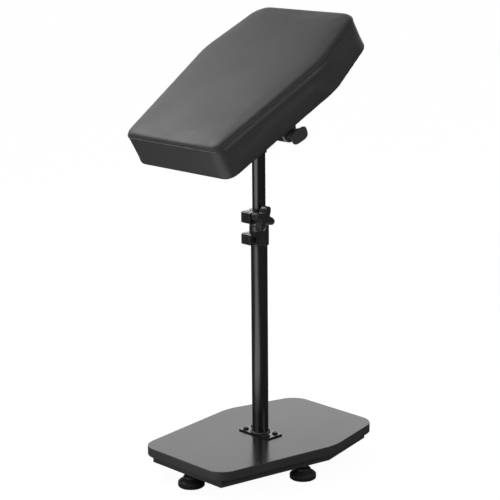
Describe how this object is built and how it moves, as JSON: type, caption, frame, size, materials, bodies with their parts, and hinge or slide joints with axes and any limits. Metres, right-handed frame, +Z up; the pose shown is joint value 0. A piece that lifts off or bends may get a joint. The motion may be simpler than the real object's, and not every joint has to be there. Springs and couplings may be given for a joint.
{
  "type": "tattoo arm rest stand",
  "caption": "Padded arm rest on a height-adjustable pole: coffin-shaped cushion that tilts and swivels, clamp and knobs, weighted six-sided base on levelling feet.",
  "frame": {"origin": "on the floor plane, under the pole's axis", "axes": "+Z up the pole; +X towards the pad's raised far end; +Y to the left of a person who looks along +X"},
  "size_m": [0.4305, 0.3162, 0.8721],
  "materials": {
    "laminate": "black satin laminate over fibreboard, edges matt",
    "dark_steel": "black oxide, satin",
    "zinc_steel": "zinc plated, satin",
    "black_coat": "black powder coat, semi-gloss",
    "black_plastic": "black moulded, satin with a fine grain",
    "nylon": "natural nylon, matt",
    "brass": "turned brass",
    "plywood": "bare plywood",
    "leathercloth": "black coated cloth, satin with a fine grain"
  },
  "bodies": {
    "base": {"base_board": "laminate", "under_board": "laminate", "board_screws": "dark_steel", "foot_tee_nuts": "zinc_steel", "pole_flange": "black_coat", "flange_screws": "dark_steel", "flange_washers": "zinc_steel", "flange_nuts": "zinc_steel", "outer_tube": "black_coat", "tube_weld": "black_coat", "guide_bush": "black_plastic", "clamp_body": "black_plastic", "lock_screw": "dark_steel", "lock_nut": "dark_steel", "clamp_bolt": "zinc_steel"},
    "near_foot": {"near_foot_pad": "black_plastic"},
    "near_stud": {"near_foot_stud": "dark_steel"},
    "far_foot": {"far_foot_pad": "black_plastic"},
    "far_stud": {"far_foot_stud": "dark_steel"},
    "left_foot": {"left_foot_pad": "black_plastic"},
    "left_stud": {"left_foot_stud": "dark_steel"},
    "right_foot": {"right_foot_pad": "black_plastic"},
    "right_stud": {"right_foot_stud": "dark_steel"},
    "clamp_washer": {"clamp_washer": "zinc_steel"},
    "clamp_knob": {"clamp_knob": "black_plastic", "clamp_knob_insert": "brass"},
    "slide_bush": {"slide_bush": "nylon"},
    "mast": {"inner_tube": "black_coat", "head_socket": "black_coat", "head_tube": "black_coat", "head_bushes": "nylon"},
    "pad": {"bracket_plate": "black_coat", "bracket_ear_right": "black_coat", "bracket_ear_left": "black_coat", "bracket_screws": "dark_steel", "bracket_tee_nuts": "zinc_steel", "pad_board": "plywood", "pad_cushion": "leathercloth", "tilt_bolt": "zinc_steel"},
    "tilt_washer": {"tilt_washer": "zinc_steel"},
    "tilt_knob": {"tilt_knob": "black_plastic", "tilt_knob_insert": "brass"}
  },
  "joints": [
    {"name": "near_foot_height", "type": "slide", "parent": "base", "child": "near_foot", "axis": [0, 0, -1], "range_m": [0, 0.008]},
    {"name": "near_stud_turn", "type": "hinge", "parent": "near_foot", "child": "near_stud", "pos_m": [-0.182, 0, 0.02], "axis": [0, 0, -1], "range_deg": [-20, 2324]},
    {"name": "far_foot_height", "type": "slide", "parent": "base", "child": "far_foot", "axis": [0, 0, -1], "range_m": [0, 0.008]},
    {"name": "far_stud_turn", "type": "hinge", "parent": "far_foot", "child": "far_stud", "pos_m": [0.182, 0, 0.02], "axis": [0, 0, -1], "range_deg": [-20, 2324]},
    {"name": "left_foot_height", "type": "slide", "parent": "base", "child": "left_foot", "axis": [0, 0, -1], "range_m": [0, 0.008]},
    {"name": "left_stud_turn", "type": "hinge", "parent": "left_foot", "child": "left_stud", "pos_m": [-0.003, 0.1195, 0.02], "axis": [0, 0, -1], "range_deg": [-20, 2324]},
    {"name": "right_foot_height", "type": "slide", "parent": "base", "child": "right_foot", "axis": [0, 0, -1], "range_m": [0, 0.008]},
    {"name": "right_stud_turn", "type": "hinge", "parent": "right_foot", "child": "right_stud", "pos_m": [-0.003, -0.1195, 0.02], "axis": [0, 0, -1], "range_deg": [-20, 2324]},
    {"name": "clamp_travel", "type": "slide", "parent": "base", "child": "clamp_washer", "axis": [0, -1, 0], "range_m": [0, 0.0025]},
    {"name": "clamp_turn", "type": "hinge", "parent": "clamp_washer", "child": "clamp_knob", "pos_m": [-0.021, -0.02, 0.497], "axis": [0, -1, 0], "range_deg": [-10, 730]},
    {"name": "height", "type": "slide", "parent": "base", "child": "slide_bush", "axis": [0, 0, 1], "range_m": [-0.1, 0.1]},
    {"name": "swivel", "type": "hinge", "parent": "slide_bush", "child": "mast", "pos_m": [0, 0, 0.31], "axis": [0, 0, 1], "continuous": true},
    {"name": "pad_tilt", "type": "hinge", "parent": "mast", "child": "pad", "pos_m": [0, 0, 0.661], "axis": [0, -1, 0], "range_deg": [-91, 29]},
    {"name": "tilt_travel", "type": "slide", "parent": "pad", "child": "tilt_washer", "axis": [0, -1, 0], "range_m": [0, 0.003]},
    {"name": "tilt_turn", "type": "hinge", "parent": "tilt_washer", "child": "tilt_knob", "pos_m": [0, -0.1, 0.661], "axis": [0, -1, 0], "range_deg": [-10, 730]}
  ],
  "couplings": [
    {"joint": "near_stud_turn", "follows": "near_foot_height", "rad_per_m": 5026.5},
    {"joint": "far_stud_turn", "follows": "far_foot_height", "rad_per_m": 5026.5},
    {"joint": "left_stud_turn", "follows": "left_foot_height", "rad_per_m": 5026.5},
    {"joint": "right_stud_turn", "follows": "right_foot_height", "rad_per_m": 5026.5},
    {"joint": "clamp_turn", "follows": "clamp_travel", "rad_per_m": 5026.5},
    {"joint": "tilt_turn", "follows": "tilt_travel", "rad_per_m": 4188.8}
  ]
}
